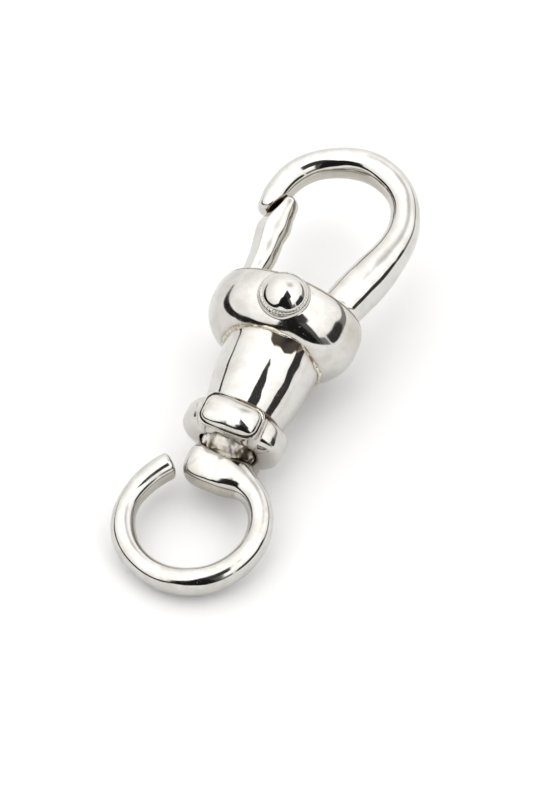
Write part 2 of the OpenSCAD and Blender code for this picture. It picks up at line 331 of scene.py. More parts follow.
def output_of(tree, kind, output=0, **settings):
    return Value(tree, node(tree, kind, **settings).outputs[output])


class Value:
    """An output socket in a node tree that can be added, multiplied and compared."""

    def __init__(self, tree, socket):
        self.tree, self.socket = tree, socket

    def op(self, kind, *others, clamp=False):
        made = node(self.tree, "ShaderNodeMath", operation=kind, use_clamp=clamp)
        for i, value in enumerate((self,) + others):
            feed(made.inputs[i], value)
        return Value(self.tree, made.outputs[0])

    __add__ = partialmethod(op, "ADD")
    __sub__ = partialmethod(op, "SUBTRACT")
    __mul__ = partialmethod(op, "MULTIPLY")
    __truediv__ = partialmethod(op, "DIVIDE")
    __pow__ = partialmethod(op, "POWER")
    __abs__ = partialmethod(op, "ABSOLUTE")
    at_least = partialmethod(op, "MAXIMUM")
    at_most = partialmethod(op, "MINIMUM")

    def __rsub__(self, other):
        return (self * -1) + other

    def step(self, low, high):
        """0 below low, 1 above high, smooth between."""
        made = node(self.tree, "ShaderNodeMapRange", interpolation_type="SMOOTHSTEP")
        for i, value in enumerate((self, low, high)):
            feed(made.inputs[i], value)
        return Value(self.tree, made.outputs[0])

    def past(self, edge, soft):
        """0 below the edge, 1 above it, softened by soft to each side."""
        return self.step(edge - soft, edge + soft)

    def ramp(self, points):
        """Piecewise straight function through the given points."""
        start, end = points[0][0], points[-1][0]
        low, high = min(p[1] for p in points), max(p[1] for p in points)

        def grey(y):
            return (*[(y - low) / (high - low)] * 3, 1)

        made = node(self.tree, "ShaderNodeValToRGB")
        feed(made.inputs[0], (self - start) / (end - start))
        elements = made.color_ramp.elements
        elements[0].color = grey(points[0][1])
        elements[1].color = grey(points[-1][1])
        for x, y in points[1:-1]:
            elements.new((x - start) / (end - start)).color = grey(y)
        return Value(self.tree, made.outputs[0]) * (high - low) + low


def noise(at, scale, detail=3.0, rough=0.55):
    return output_of(at.tree, "ShaderNodeTexNoise", "Fac", Scale=scale, Detail=detail,
                     Roughness=rough, Vector=at)


def mix(factor, a, b):
    """Colour a where the factor is 0, b where it is 1."""
    made = node(factor.tree, "ShaderNodeMix", data_type="RGBA")
    for i, value in ((0, factor), (6, a), (7, b)):
        feed(made.inputs[i], (*value, 1) if isinstance(value, tuple) else value)
    return Value(factor.tree, made.outputs[2])


# ---------------------------------------------------------------- materials
def metal(name, base, shade, rough, spread, tarnish_and_shade_colour=(0.085, 0.05, 0.028), wave=0.0, scratch=1.0,
          pits=0.35, level=0.0, grain=0.0, seam=None):
    """Plated or cast metal: clouded tone, scratches, pits, and brown tarnish where grime gathers,
    the same brown also painted as shade.

    base and shade are the clouded tones; rough and spread the least roughness and its range;
    wave, scratch and grain scale the bumps; level adds tarnish all over; seam is the y and half
    width of a dark line.
    """
    material = bpy.data.materials.new(name)
    material.use_nodes = True
    tree = material.node_tree
    tree.nodes.clear()
    at = output_of(tree, "ShaderNodeVectorMath", operation="SCALE", Scale=1000.0,   # m to mm
                   Vector=output_of(tree, "ShaderNodeTexCoord", "Object"))
    streaks = output_of(tree, "ShaderNodeMapping", Vector=at, Rotation=(0.3, 0.2, 0.6),
                        Scale=(9.0, 0.55, 5.0))
    cloud = noise(at, scale=0.45, detail=4)
    fine = noise(at, scale=3.2, detail=5, rough=0.62)
    speck = noise(at, scale=7.5, detail=2, rough=0.5)
    lines = noise(streaks, scale=1.6, detail=4, rough=0.7)
    grime_and_shade = output_of(tree, "ShaderNodeAttribute", "Fac", attribute_name="grime_and_shade")

    # tarnish and painted shade: mostly where the vertex value puts them, broken up at two scales
    dirt_and_shade = (grime_and_shade + level + (fine - 0.5) * (grime_and_shade * 1.1).at_most(0.6)
            + (cloud - 0.5) * 0.12).step(0.38, 0.72)
    pit = speck.step(0.70, 0.76) * fine.step(0.46, 0.6) * pits
    dirt_and_shade = dirt_and_shade.at_least(pit, clamp=True)
    if seam:
        seam_y, half = seam
        y = output_of(tree, "ShaderNodeSeparateXYZ", "Y", Vector=at)
        gap = abs(y - (ORIGIN[1] * 1000 + seam_y) + (fine - 0.5) * half)
        line = (1 - gap.step(half * 0.5, half * 1.3)) * (cloud.step(0.3, 0.6) * 0.35 + 0.65)
        dirt_and_shade = dirt_and_shade.at_least(line)

    # colour: clouded, warmer with light grime and painted shade, brown with tarnish and painted
    # shade, near black as soot and painted dark reflection in the deepest
    tone = mix(cloud.step(0.35, 0.68), base, shade)
    warm = tuple(c * k for c, k in zip(base, (0.62, 0.56, 0.46)))
    tone = mix(grime_and_shade.step(0.02, 0.5) * 0.55, tone, warm)
    brown = mix(fine.step(0.35, 0.7), tarnish_and_shade_colour, tuple(min(1, 2.6 * c) for c in tarnish_and_shade_colour))
    # near black where the value is deepest: soot, and also painted dark reflection and painted shade
    soot_and_painted_dark = (grime_and_shade + (fine - 0.5) * 0.25).step(0.78, 0.92)
    brown = mix(soot_and_painted_dark, brown, tuple(0.12 * c for c in tarnish_and_shade_colour))
    colour = mix(dirt_and_shade * 0.93, tone, brown)

    # tarnish and painted shade are duller and less metallic; the near-black soot and painted dark
    # take some of that back
    roughness = (cloud.step(0.3, 0.75) * spread + rough + lines.step(0.52, 0.8) * 0.05 * scratch
                 + dirt_and_shade * 0.42 - soot_and_painted_dark * 0.2).at_most(0.9)
    metallic = (dirt_and_shade * -0.55 + soot_and_painted_dark * 0.55 + 1.0).at_most(1.0)

    # relief in mm: scratches, grain, pits, tarnish and painted shade a little sunk, then broad waves
    height = ((lines - 0.5) * 0.0009 * scratch + (fine - 0.5) * (0.004 * grain + 0.0005)
              - pit * 0.012 - dirt_and_shade * 0.006)
    if wave:
        height = height + (noise(at, scale=0.55, detail=2, rough=0.4) - 0.5) * wave
    bump = output_of(tree, "ShaderNodeBump", Strength=1.0, Distance=MM, Height=height)
    surface = output_of(tree, "ShaderNodeBsdfPrincipled", Roughness=roughness, Metallic=metallic,
                        Normal=bump, **{"Base Color": colour})
    node(tree, "ShaderNodeOutputMaterial", Surface=surface)
    return material


BRIGHT = dict(base=(0.64, 0.626, 0.598), shade=(0.56, 0.543, 0.512), rough=0.035, spread=0.055,
              wave=0.010)
NICKEL = metal("nickel", **BRIGHT)
NICKEL_HEAD = metal("nickel_head", base=(0.63, 0.616, 0.588), shade=(0.54, 0.523, 0.492),
                    rough=0.04, spread=0.09, wave=0.012, seam=(2.52, 0.10), pits=0.5)
NICKEL_HOOK = metal("nickel_hook", **BRIGHT, seam=(3.16, 0.12))
NICKEL_CAST = metal("nickel_cast", base=(0.62, 0.606, 0.578), shade=(0.53, 0.512, 0.48),
                    rough=0.055, spread=0.09, wave=0.016, pits=0.7, grain=0.5)
DARK = metal("dark_nickel", base=(0.66, 0.64, 0.60), shade=(0.55, 0.52, 0.47), rough=0.12,
             spread=0.12, level=0.08, pits=1.0)
BRAZE = metal("braze", base=(0.70, 0.665, 0.58), shade=(0.62, 0.56, 0.44), rough=0.22,
              spread=0.16, level=0.10, grain=5.0, tarnish_and_shade_colour=(0.16, 0.10, 0.05), pits=1.0)
SOLDER = metal("solder", base=(0.71, 0.69, 0.65), shade=(0.64, 0.61, 0.54), rough=0.24,
               spread=0.16, grain=7.0, tarnish_and_shade_colour=(0.075, 0.055, 0.028), pits=1.0, wave=0.03)
BRONZE = metal("bronze", base=(0.72, 0.49, 0.23), shade=(0.56, 0.36, 0.16), rough=0.22,
               spread=0.12, level=0.05, grain=1.0)
SPRING = metal("spring_steel", base=(0.46, 0.45, 0.44), shade=(0.36, 0.35, 0.34), rough=0.20,
               spread=0.10, level=0.10)
STEEL = metal("steel", base=(0.56, 0.55, 0.53), shade=(0.45, 0.44, 0.42), rough=0.20,
              spread=0.12, level=0.05, grain=1.0)


# ---------------------------------------------------------------- shapes
def nose_frame(x, y):
    """Place along the nose's slanted cut, and across it towards the outer side."""
    dx, dy = x - NOSE_X, y - NOSE_Y
    along_x, along_y = NOSE_ALONG
    return dx * along_x + dy * along_y, -dx * along_y + dy * along_x


def pocket(x, y, z):
    """Slot for the gate's lever through the head's middle."""
    hub, closed_half, opened_half = 2.35, 1.65, 2.15
    closed_normal = LEVER_ANGLE + math.pi / 2
    opened_normal = LEVER_ANGLE - math.radians(31) - math.pi / 2
    # wedge swept by the lever, between its closed under side and its open upper side
    under = x * math.cos(closed_normal) + y * math.sin(closed_normal) - closed_half
    over = x * math.cos(opened_normal) + y * math.sin(opened_normal) - opened_half
    wedge = largest(under, over, -7.8 - x, -(y + 1.5))
    lever_end = np.hypot(x - LEVER_X, y - LEVER_Y) - closed_half - 0.1
    outline = np.minimum(np.minimum(np.hypot(x, y) - hub, lever_end), wedge)
    return meet(outline, meet(z - 1.75, -2.3 - z, 0.1), 0.1)


def neck_line(z):
    """The y of the line where the neck meets the head's under side."""
    return -5.0 + 0.75 * (z / 5.85) ** 2


def head(x, y, z):
    half_x, half_z, power = 9.4, 7.45, 2.6
    half_below, half_above, centre_y, top_y = 6.25, 5.0, 0.4, 3.0
    lip_radius, lip_top = 3.0, 7.4
    seat_radius, seat_floor = 2.88, 6.7
    radius = np.hypot(x, y)
    high = y - centre_y
    half_y = np.where(high < 0, half_below, half_above)
    shape = (oval(np.hypot(x / half_x, z / half_z), high / half_y, power) - 1) * 6.0
    shape = rumple(shape, x, y, z, big=0.018, mid=0.004)
    lip = meet(meet(radius - lip_radius, z - lip_top, 0.16), 5 - z, 0.1)
    shape = join(shape, lip, 0.3)
    shape = meet(shape, y - top_y, 0.4)
    shape = carve(shape, pocket(x, y, z), 0.16)
    shape = carve(shape, meet(radius - seat_radius, seat_floor - np.abs(z), 0.08), 0.12)
    return carve(shape, radius - PIN_RADIUS, 0.05)


# x, y, half width, from the foot on the +x side round the bend to the nose
HOOK = Bar([
    [3.5, -3.3, 2.3], [4.55, 1.03, 2.39], [5.6, 5.37, 2.59], [7.06, 9.75, 2.72],
    [8.0, 13.52, 2.24], [8.53, 17.22, 2.0], [7.07, 21.84, 1.74], [3.57, 24.31, 1.88],
    [-0.19, 25.0, 1.94], [-5.53, 22.66, 1.74], [-8.07, 18.47, 1.74], [-8.23, 13.58, 1.57],
    [-6.26, 9.02, 1.2]], power=2.2, thickness=lambda half: 1.08 * half)


def hook(x, y, z):
    foot_y = 3.04
    shape, _, past, _, _ = HOOK.solid(x, y, z)
    shape = meet(shape, past, 1.1)
    foot = cushion(x, y, z, half=(2.74, 0.95, 2.95), section=2.7, profile=2.6,
                   centre=(5.02, 3.1, 0.0))
    shape = rumple(join(shape, foot, 0.45), x, y, z, big=0.02, mid=0.006)
    along, across = nose_frame(x, y)
    notch = largest(along - 2.2, -6 - along, across, -4 - across)
    return meet(carve(shape, notch, 0.18), foot_y - y, 0.1)


# x, y, half width, half thickness, from the lever up to the tip
GATE = Bar([
    [-6.05, 0.2, 1.35, 1.4], [-6.05, 2.6, 1.4, 1.45], [-6.1, 4.7, 1.5, 1.5],
    [-6.1, 6.7, 1.6, 1.5], [-6.15, 8.7, 1.8, 1.5], [-6.45, 10.1, 1.8, 1.5],
    [-6.5, 11.5, 2.1, 1.5], [-6.5, 12.8, 2.0, 1.5], [-6.38, 13.9, 1.72, 1.55],
    [-6.25, 14.8, 1.5, 1.5], [-6.15, 15.5, 1.35, 1.45], [-6.1, 16.1, 1.2, 1.35],
    [-6.08, 16.65, 1.1, 1.25], [-6.08, 17.2, 1.0, 1.15]], power=2.3)
NOSE_GAP = 0.08     # clearance at the cut


def gate(x, y, z):
    hub_radius, arm_half, half_thick, bore = 2.1, 1.4, 1.5, 1.46
    shape, offset, past, wide, thick = GATE.solid(x, y, z)
    # flats left by the file along both upper edges: normal across, normal up, reach
    for across, up, reach in ((0.74, 0.67, 0.87), (-0.8, 0.6, 0.985)):
        flat = across * offset + up * z - reach * np.hypot(across * wide, up * thick)
        shape = meet(shape, flat, 0.1)
    shape = meet(shape, past, 0.9)
    shape = meet(shape, nose_frame(x, y)[1] + NOSE_GAP, 0.15)
    hub = meet(np.hypot(x, y) - hub_radius, np.abs(z) - half_thick, 0.2)
    t = np.clip((x * LEVER_X + y * LEVER_Y) / (LEVER_X ** 2 + LEVER_Y ** 2), 0, 1)
    arm = np.hypot(x - LEVER_X * t, y - LEVER_Y * t) - arm_half
    arm = meet(arm, np.abs(z) - half_thick, 0.3)
    shape = join(shape, join(hub, arm, 0.4), 0.7)
    shape = rumple(shape, x, y, z, big=0.02, mid=0.012)
    return carve(shape, np.hypot(x, y) - bore, 0.06)


def rivet(x, y, z):
    """Round head on the +z side, flatter one on the -z side, and the pin between."""
    front_radius, back_radius, pin_half = 2.66, 2.3, 7.5
    radius = np.hypot(x, y)
    front = meet(np.hypot(radius, z - 5.72) - 3.40, radius - front_radius, 0.1)
    front = meet(front, 7.3 - z, 0.06)
    back = meet(np.hypot(radius, z + 3.9) - 4.0, z + 7.1, 0.05)
    back = meet(back, radius - back_radius, 0.05)
    pin = meet(radius - PIN_RADIUS, np.abs(z) - pin_half, 0.05)
    return rumple(np.minimum(np.minimum(front, back), pin), x, y, z, big=0.006)


def seat_ring(x, y, z):
    """Ring under each rivet head, with a milled bead round its edge."""
    outer, inner, thick = 2.86, 1.02, 0.7
    bead_radius, bead_size, tooth, teeth = 2.82, 0.075, 0.03, 44
    radius, angle = np.hypot(x, y), np.arctan2(y, x)
    above = np.where(z > 0, z - 7.5 + 0.3 * (radius - 2.6), -z - 7.12)
    wall = meet(radius - outer, inner - radius, 0.05)
    band = meet(wall, meet(above, -thick - above, 0.05), 0.1)
    bead = np.hypot(radius - bead_radius, above) - bead_size - tooth * np.cos(teeth * angle)
    return join(band, bead, 0.06)


def neck(x, y, z):
    top_y, bottom_y, bore = -4.0, -13.9, 3.3
    # taper with a slight belly, then a flare at the top that is broadest at one angle
    radius = 4.93 + (y + 12.53) * 0.1357 + 0.22 * (1 - ((y + 9.2) / 4.2) ** 2)
    lobe = np.exp(-((np.arctan2(x - AXIS_X, z) - 0.52) / 0.30) ** 2)
    rise = np.minimum(y - neck_line(z) - 0.2, 0)
    radius = radius + (0.26 + 0.26 * lobe) * np.exp(rise / (0.36 + 0.9 * lobe))
    shape = (from_axis(x, z / NECK_FLATTEN) - radius) * 0.98
    shape = rumple(shape, x, y, z, big=0.03, mid=0.008)
    shape = meet(shape, y - top_y, 0.15)
    shape = meet(shape, bottom_y - y, 0.1)
    return carve(shape, from_axis(x, z) - bore, 0.1)


def neck_braze(x, y, z):
    ring_radius, bead_radius = 6.13, 0.2
    out = from_axis(x, z / NECK_FLATTEN) - ring_radius
    bead = np.hypot(out, y - neck_line(z)) - bead_radius
    return rumple(bead, x, y, z, fine=0.05, mid=0.04)


def collar(x, y, z):
    bore, mouth, mouth_y = 3.4, 3.55, -16.95
    body = cushion(x, y, z, half=(6.32, 2.28, 4.39), section=2.2, profile=3.9,
                   centre=(AXIS_X, -15.8, 0))
    block = meet(pad_outline(x, y, 3.74, 2.36, corner=1.5), np.abs(z) - 4.9, 0.25)
    shape = rumple(join(body, block, 0.4), x, y, z, big=0.03, mid=0.015)
    radius = from_axis(x, z)
    shape = carve(shape, meet(radius - mouth, y - mouth_y, 0.2), 0.3)
    shape = carve(shape, radius - bore, 0.1)
    socket = meet(pad_outline(x, y, 3.58, 2.2, corner=1.4), 4.4 - np.abs(z), 0.05)
    return carve(shape, socket, 0.08)


def pads(x, y, z):
    """Domed caps set in the collar's two sockets."""
    half_x, half_y, base_z, dome = 3.56, 2.18, 4.35, 1.55
    above = np.abs(z) - base_z
    radius = oval((x - PAD_X) / half_x, (y - PAD_Y) / half_y, 3.4)
    shape = (oval(radius, np.maximum(above, 0) / dome, 2.3) - 1) * 1.4
    return rumple(meet(shape, 0.07 - above, 0.05), x, y, z, big=0.02, mid=0.008)


# x, y, half width, from under the collar round the +x side to the free end
RING = Bar([
    [-3.0, -20.9, 2.3], [1.0, -21.0, 2.2], [4.6, -21.4, 1.6], [7.6, -23.9, 1.48],
    [8.87, -28.49, 1.51], [6.9, -33.38, 1.57], [3.39, -36.02, 1.63], [-0.47, -36.64, 1.43],
    [-4.37, -35.28, 1.38], [-6.71, -32.62, 1.54], [-7.6, -29.17, 1.26], [-6.61, -25.31, 1.57],
    [-4.72, -22.35, 1.58], [-2.6, -20.7, 1.4]], power=2.2,
    thickness=lambda half: np.where(half < 1.6, 1.1 * half, 1.76 + 0.45 * (half - 1.6)))


def ring_end(x, y):
    """Distance beyond the slanting cut at the ring's free end."""
    return 0.92 * x + 0.392 * y + 12.6


def ring(x, y, z):
    bore, bore_end_y = 1.32, -21.3
    shape, _, past, _, _ = RING.solid(x, y, z)
    shape = meet(shape, past, 0.6)
    shape = meet(shape, join(ring_end(x, y), -2.6 - x, 0.1), 0.4)
    boss = cushion(x, y, z, half=(3.93, 2.74, 2.04), section=2.67, profile=3.0,
                   centre=(0.49, -21.12, 0))
    shape = rumple(join(shape, boss, 0.9), x, y, z, big=0.015, mid=0.005)
    return carve(shape, meet(from_axis(x, z) - bore, bore_end_y - y, 0.1), 0.05)


def stem_braze(x, y, z):
    """Tapering bead round the stem, between the collar and the ring."""
    top_radius, narrowing, top_y, bottom_y, bore = 3.3, 0.75, -17.3, -19.8, 1.72
    radius = from_axis(x, z)
    taper = np.clip((-18.1 - y) / 1.7, 0, 1)
    shape = (radius - (top_radius - narrowing * taper)) * 0.92
    shape = meet(meet(shape, y - top_y, 0.3), bottom_y - y, 0.1)
    return carve(rumple(shape, x, y, z, fine=0.02, mid=0.05), radius - bore, 0.05)


# ---------------------------------------------------------------- where tarnish gathers and where shade is painted, 0 to 1
def close(distance, width):
    """1 at and below distance 0, fading over the width."""
    return np.exp(-np.maximum(distance, 0) / width)


def head_grime(x, y, z, normal):
    seat = close(np.abs(np.hypot(x, y) - 2.9), 0.12) * (np.abs(z) > 6)
    off_ring = np.maximum(np.abs(from_axis(x, z) - 6.1) - 0.3, 0)
    seam = close(np.abs(y - neck_line(z)) + off_ring, 0.4)
    rim = close(np.abs(y - 2.75), 0.14) * 0.55 * (z > 0)
    slot = (close(np.abs(z) - 2.0, 0.3) * (y > -2) * (normal[:, 1] < 0.8) * close(2.9 - y, 6)
            * (np.abs(normal[:, 2]) < 0.8) * (np.hypot(x / 9.4, y / 6) < 0.86))
    side = close(np.hypot(x - 8.2, y - 0.6), 1.6) * 0.42
    return largest(0.45 * seat, 0.55 * seam, rim, 0.8 * slot, side)


def hook_grime_and_shade(x, y, z, normal):
    offset, _, wide, _, place = HOOK.near(x, y)
    inner = np.clip(offset / wide, 0, 1)
    inside = 0.33 * np.exp(-((inner - 0.98) / 0.25) ** 2) * (place > 0.9)
    along, across = nose_frame(x, y)
    # painted shade: the nose's slanted cut face, darkened in tarnish brown where it faces the gate
    # across the gap
    painted_gap_shade = (close(np.abs(across), 0.12) * (np.abs(along + 1) < 4.5) * (x < -3)
           * (1 - 0.55 * np.clip((along - 0.2) / 0.8, 0, 1)))
    foot = close(np.abs(y - 3.1), 0.25)
    return largest(inside, 0.9 * painted_gap_shade, 0.85 * foot)


def gate_grime_and_shade(x, y, z, normal):
    # painted shade: the gate's side along the gap at the nose's cut, darkened in tarnish brown
    painted_gap_shade = close(np.abs(nose_frame(x, y)[1] + NOSE_GAP), 0.1) * (y > 9)
    base = close(np.abs(y - 3.2), 0.5) * 0.75
    hidden = np.where(y < 2.6, 0.45, 0)
    # painted shade: the gate's flank turned to +x, towards the hook's inside, made warmer and darker
    edge = 0.34 * close(0.93 - normal[:, 0], 0.12) * (y > 3)
    return largest(painted_gap_shade * 0.95, base, hidden, edge)


def rivet_grime(x, y, z, normal):
    return close(np.abs(np.abs(z) - 7.15), 0.12) * 0.8


def neck_grime_and_dark_reflection(x, y, z, normal):
    """Along the top, with a deeper ragged near-black patch at one angle that is a painted dark
    reflection, and along the bottom edge.
    """
    angle = np.arctan2(x - AXIS_X, z)
    below = neck_line(z) - 0.15 - y
    # painted dark reflection: near black from the top down to this depth, at one angle round the
    # neck
    depth = 0.05 + 1.5 * np.exp(-((angle - 0.34) / 0.30) ** 4)
    depth = depth + 0.25 * WAVES["fine"](x, 0.4 * y, z)
    painted_reflection = 1 - np.clip((below - depth) / 0.3, 0, 1)
    painted_reflection = painted_reflection * np.exp(-((angle - 0.30) / 0.42) ** 6)
    return largest(close(below, 0.35) * 0.5, painted_reflection, close(y + 13.65, 0.1) * 0.8)


def collar_grime(x, y, z, normal):
    radius = from_axis(x, z)
    under = close(radius - 3.7, 0.5) * (y < -16.5) * (0.4 + 0.4 * (x > 1.5))
    hole = close(radius - 4.9, 0.14) * (y > -14.2) * 0.45
    groove = (close(np.abs(pad_outline(x, y, 3.54, 2.2, corner=1.4)), 0.09)
              * (np.abs(z) > 4.3) * np.where(y > -15, 0.2, 0.55))
    sides = close(np.abs(np.abs(x - AXIS_X) - 3.9), 0.25) * (np.abs(z) > 3.2) * 0.4
    return largest(under, hole, groove, sides)


def pad_grime(x, y, z, normal):
    return close(np.abs(z) - 4.55, 0.15) * np.where(y > -15, 0.25, 0.75)


def ring_grime(x, y, z, normal):
    offset, _, wide, _, place = RING.near(x, y)
    at_end = (place > RING.spans - 1.5) & (x < -3.7) & (y > -24.5)
    end = np.where(at_end, close(-ring_end(x, y), 0.2), 0) * 0.62
    top = close(-18.6 - y, 0.4) * 0.7
    inside = 0.33 * np.exp(-((offset / wide + 1.0) / 0.2) ** 2) * (place > 3)
    face = (0.42 * close(np.abs(normal[:, 1] + 1.0), 0.35) * (np.abs(x - 0.6) < 3.2)
            * (y > -24.6) * (y < -21.5))
    return largest(end, top, inside, face)


def stem_grime(x, y, z, normal):
    edges = close(y + 18.8, 0.15) * 0.35 + close(-17.4 - y, 0.12) * 0.4
    return rumple(edges + 0.75 * np.clip((x - 2.0) / 1.2, 0, 1), x, y, z, mid=0.06, fine=0.2)


def bead_grime(x, y, z, normal):
    return rumple(0.14, x, y, z, mid=0.25, fine=0.2)


# name, shape, low and high corner, CAD pieces it stands for, material, grime and painted shade
piece("head_shell", head, (-9.9, -6.3, -7.9), (9.9, 3.5, 7.9),
      ["head"], NICKEL_HEAD, head_grime)
piece("hook_bar", hook, (-10.3, 2.6, -3.5), (11.2, 27.6, 3.5),
      ["hook", "hook_braze"], NICKEL_HOOK, hook_grime_and_shade)
piece("gate_bar", gate, (-8.9, -2.5, -1.9), (2.5, 17.5, 1.9),
      ["gate"], NICKEL, gate_grime_and_shade, body="gate")
piece("rivet_ball", rivet, (-2.8, -2.8, -8.2), (2.8, 2.8, 10.2),
      ["gate_rivet"], NICKEL, rivet_grime, step=BEAD_GRID)
piece("rivet_seat", seat_ring, (-3.1, -3.1, -7.5), (3.1, 3.1, 7.9),
      ["rivet_rings"], DARK, step=SEAT_GRID)
piece("neck_shell", neck, (-6.3, -14.2, -6.5), (7.2, -4.4, 6.5),
      ["neck_barrel"], NICKEL, neck_grime_and_dark_reflection)
piece("neck_bead", neck_braze, (-6.6, -5.9, -7.0), (7.5, -4.0, 7.0),
      ["neck_braze"], BRAZE, bead_grime, step=BEAD_GRID)
piece("collar_shell", collar, (-6.3, -18.9, -5.4), (7.2, -13.2, 5.4),
      ["collar"], NICKEL_CAST, collar_grime)
piece("collar_caps", pads, (-3.7, -19.0, -6.4), (4.6, -13.2, 6.4),
      ["collar_pads"], NICKEL_CAST, pad_grime)
piece("ring_loop", ring, (-10.0, -38.5, -2.8), (11.0, -18.0, 2.8),
      ["swivel_ring"], NICKEL_CAST, ring_grime, body="swivel")
piece("stem_bead", stem_braze, (-3.4, -20.1, -3.9), (4.3, -16.9, 3.9),
      ["stem_braze"], SOLDER, stem_grime, step=BEAD_GRID, body="swivel")


# ---------------------------------------------------------------- torsion spring
def tube(name, centres, radius, sides):
    """Mesh of round wire along the centres, with flat ends."""
    centres = np.array(centres)
    tangent = np.gradient(centres, axis=0)
    tangent /= np.linalg.norm(tangent, axis=1)[:, None]
    out = centres * (1, 1, 0)
    out = out - (out * tangent).sum(1)[:, None] * tangent
    out /= np.linalg.norm(out, axis=1)[:, None]
    side = np.cross(tangent, out)
    angle = (2 * np.pi * np.arange(sides) / sides)[None, :, None]
    points = centres[:, None] + radius * (np.cos(angle) * out[:, None]
                                          + np.sin(angle) * side[:, None])
    last = (len(centres) - 1) * sides
    faces = [(i + j, i + (j + 1) % sides, i + sides + (j + 1) % sides, i + sides + j)
             for i in range(0, last, sides) for j in range(sides)]
    faces += [tuple(range(sides))[::-1], tuple(range(last, last + sides))]
    mesh = bpy.data.meshes.new(name)
    mesh.from_pydata((points.reshape(-1, 3) * MM + ORIGIN).tolist(), [], faces)
    for face in mesh.polygons:
        face.use_smooth = len(face.vertices) == 4
    mesh.validate()
    mesh.update()
    return mesh


def spring():
    """One leg in the head, the other against the lever, so it winds up as the gate opens."""
    coil, turns, steps, base_z, rise = 1.75, 4, 160, -4.25, 2.3
    start = LEVER_ANGLE - math.pi / 2
    leg_x, leg_y = coil * math.cos(start), coil * math.sin(start)
    path = [(leg_x, leg_y, z) for z in (-5.35, -5.0, -4.7, -4.5)]
    for i in range(steps + 1):
        angle = start - 2 * turns * math.pi * (1 - i / steps)
        path.append((coil * math.cos(angle), coil * math.sin(angle), base_z + rise * i / steps))
    # lever leg: distance along the lever, height above the coil
    for out, up in ((0.6, 0), (1.2, 0), (1.9, 0), (2.6, 0), (3.1, 0.0), (3.4, 0.07),
                    (3.56, 0.2), (3.6, 0.4), (3.6, 0.9), (3.6, 1.5)):
        path.append((leg_x + out * math.cos(LEVER_ANGLE), leg_y + out * math.sin(LEVER_ANGLE),
                     base_z + rise + up))
    wire = add_object("spring_coil", tube("spring_coil", path, radius=0.25, sides=16), SPRING)
    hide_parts("gate_spring")
    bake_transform(wire)


spring()

for name, material in (("gate_bush", BRONZE), ("neck_plug", BRONZE), ("swivel_bush", BRONZE),
                       ("swivel_washer", STEEL), ("swivel_stem", STEEL)):
    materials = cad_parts[name].data.materials
    materials.clear()
    materials.append(material)

# ---------------------------------------------------------------- floor
# the part lies on the head's under side and the far end of the ring
FLOOR_TILT = 0.166
FLOOR_DROP = 0.00796
UP = Vector((0, FLOOR_TILT, 1)).normalized()


def floor_material():
    paper = bpy.data.materials.new("floor_paper")
    paper.use_nodes = True
    inputs = paper.node_tree.nodes["Principled BSDF"].inputs
    at = output_of(paper.node_tree, "ShaderNodeTexCoord", "Object")
    feed(inputs["Base Color"], mix(noise(at, scale=900.0), (0.865, 0.865, 0.865),
                                   (0.88, 0.879, 0.877)))
    inputs["Roughness"].default_value = 0.85
    inputs["Specular IOR Level"].default_value = 0.2
    inputs["Emission Color"].default_value = (1, 1, 1, 1)      # lit a little from behind
    inputs["Emission Strength"].default_value = 0.08
    return paper


bpy.ops.mesh.primitive_circle_add(vertices=96, radius=0.9, fill_type="NGON")
floor = bpy.context.object
floor.name = "studio_floor"
floor.rotation_mode = "QUATERNION"
floor.rotation_quaternion = Vector((0, 0, 1)).rotation_difference(UP)
floor.location = Vector(ORIGIN) + Vector((0, 0, -FLOOR_DROP))
floor.data.materials.append(floor_material())


# ---------------------------------------------------------------- studio: a white tent, dark patches
# turn and rise are degrees round and above the floor; turn is 0 at -x, 90 at -y, 180 at +x.
# Ramps hold turn, rise pairs, or rise, turn pairs for side edges.
def along(direction, axis):
    made = node(direction.tree, "ShaderNodeVectorMath", operation="DOT_PRODUCT", Vector=direction)
    made.inputs[1].default_value = axis
    return Value(direction.tree, made.outputs["Value"])


def opening(turn, rise):
    """Dark block on the -y side, and two wider, fainter areas on its +x edge."""
    low = turn.ramp([(76, 22), (84, 23), (100, 24), (108, 21), (120, 15), (132, 11.5), (165, 11)])
    high = turn.ramp([(78, 52), (86, 60), (95, 66), (106, 68.5), (125, 68.5), (136, 67),
                      (150, 62)])
    end = rise.ramp([(8, 141), (30, 139), (52, 131), (62, 128), (72, 126)])
    start = rise.ramp([(8, 70), (18, 76), (26, 80), (34, 82), (60, 82), (70, 88)])
    within = rise.past(low, 1.0) * (1 - rise.past(high, 1.2)) * turn.past(start, 1.5)
    block = within * (1 - turn.past(end, 1.2))
    fringe = within * (1 - turn.step(146.0, 149.0))
    skirt = within * (1 - turn.step(159.0, 161.0)) * (1 - rise.step(26.0, 30.0))
    return block, fringe, skirt


def low_band(turn, rise):
    """Low dark band from the -x side round to -y."""
    low = turn.ramp([(-28, 8.5), (-18, 6), (0, 2), (15, -2), (45, -2), (58, 3), (68, 8),
                     (80, 14), (92, 22)])
    high = turn.ramp([(-28, 9), (-18, 11), (0, 12.5), (15, 13), (30, 13), (50, 16), (62, 19),
                      (72, 25), (80, 33), (92, 40)])
    return (rise.past(low, 0.8) * (1 - rise.past(high, 1.0))
            * turn.step(-27.0, -22.0) * (1 - turn.step(86.0, 92.0)))


def window(turn, rise):
    """Round-cornered patch on the +x side."""
    across = abs((turn - 184.5) / 21.5)
    up = abs((rise - 21.5) / 10.5)
    return 1 - ((across ** 5 + up ** 4) ** 0.22).step(0.93, 1.05)


